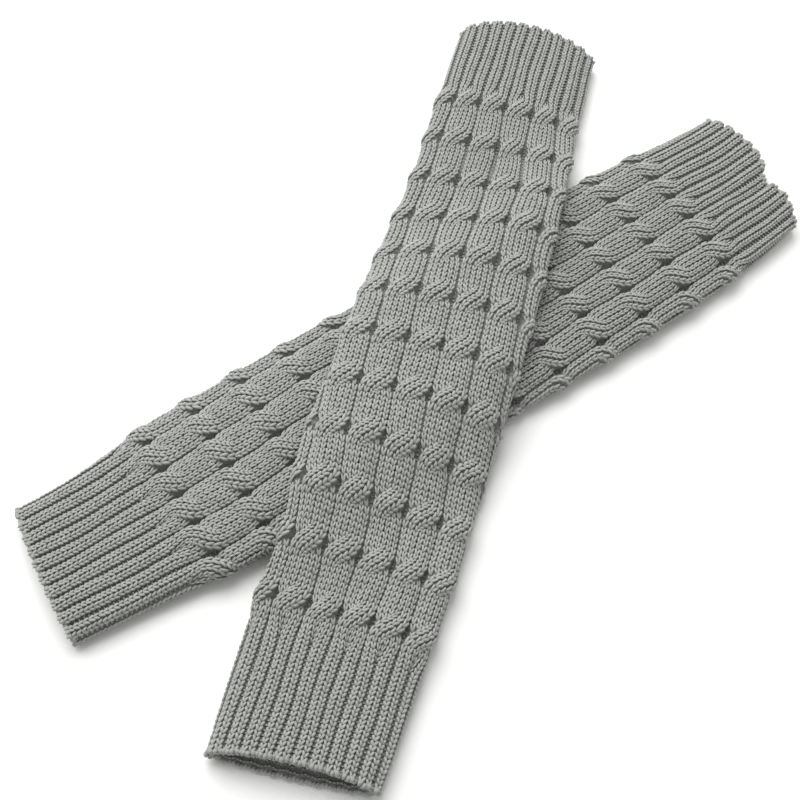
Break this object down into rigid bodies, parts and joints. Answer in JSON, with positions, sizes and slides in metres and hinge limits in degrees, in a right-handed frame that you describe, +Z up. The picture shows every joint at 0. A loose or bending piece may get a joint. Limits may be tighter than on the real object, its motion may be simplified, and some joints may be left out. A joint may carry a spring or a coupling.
{
  "type": "pair of leg warmers",
  "caption": "Pair of cable-knit leg warmers with ribbed cuffs, laid flat on a surface and crossed, the upper one climbing over the lower one.",
  "frame": {"origin": "on the surface the pair rests on, under the middle of the pair's box", "axes": "+Z up from the surface, +Y away from the viewer, along the upper warmer within 17 degrees, +X to the viewer's right"},
  "size_m": [0.4179, 0.4582, 0.0364],
  "materials": {
    "cable_knit": "matt grey yarn, cable knit",
    "rib_knit": "matt grey yarn, 2 x 2 rib"
  },
  "bodies": {
    "root": {"over_cast_on_cuff": "rib_knit", "over_lower_leg": "cable_knit", "over_calf_leg": "cable_knit", "over_middle_leg": "cable_knit", "over_upper_leg": "cable_knit", "over_bind_off_cuff": "rib_knit", "under_cast_on_cuff": "rib_knit", "under_lower_leg": "cable_knit", "under_middle_leg": "cable_knit", "under_upper_leg": "cable_knit", "under_bind_off_cuff": "rib_knit"}
  },
  "joints": []
}
